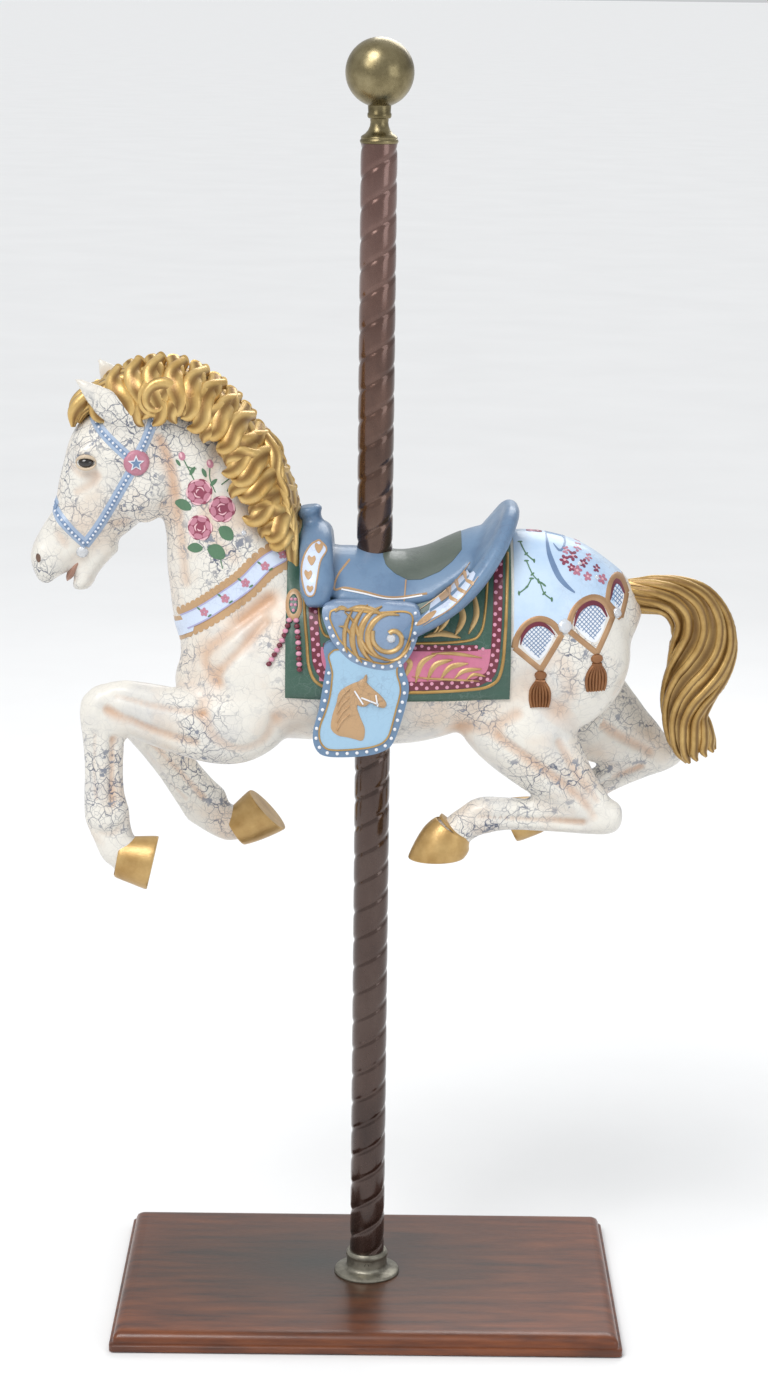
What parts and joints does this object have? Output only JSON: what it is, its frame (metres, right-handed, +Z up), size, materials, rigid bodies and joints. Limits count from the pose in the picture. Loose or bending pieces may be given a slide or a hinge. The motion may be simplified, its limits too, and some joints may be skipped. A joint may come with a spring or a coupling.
{
  "type": "carousel horse statue",
  "caption": "Painted carousel horse with carved mane, saddle and blanket, leaping on a rope-twisted tube with a ball finial and a wooden board",
  "frame": {"origin": "centre of the board's underside, on the tube's axis", "axes": "+Z up along the tube; the horse faces -X; its dressed left side is at -Y"},
  "size_m": [0.749, 0.338, 1.3719],
  "materials": {
    "paint": "cast resin, painted cream-white with a crackle glaze; gold mane, tail and hooves; blue, green and rose tack",
    "wood": "mahogany stain, semi-gloss",
    "bronze": "steel tube, dark bronze lacquer, glossy",
    "brass": "antique brass, satin",
    "pewter": "dull grey-brass plate",
    "steel": "darkened",
    "crystal": "cut glass, foiled at the back"
  },
  "bodies": {
    "root": {"horse": "paint", "base_board": "wood", "floor_flange": "pewter", "set_screw": "steel", "pole": "bronze", "ball_finial": "brass", "jewel_bit_left": "crystal", "jewel_bit_right": "crystal", "jewel_skirt_left": "crystal", "jewel_skirt_right": "crystal", "jewel_rump_large_left": "crystal", "jewel_rump_large_right": "crystal", "jewel_rump_dock_left": "crystal", "jewel_rump_dock_right": "crystal", "jewel_bouquet_low_left": "crystal", "jewel_bouquet_low_right": "crystal", "jewel_bouquet_mid_left": "crystal", "jewel_bouquet_mid_right": "crystal", "jewel_breast_left": "crystal", "jewel_breast_right": "crystal"}
  },
  "joints": []
}
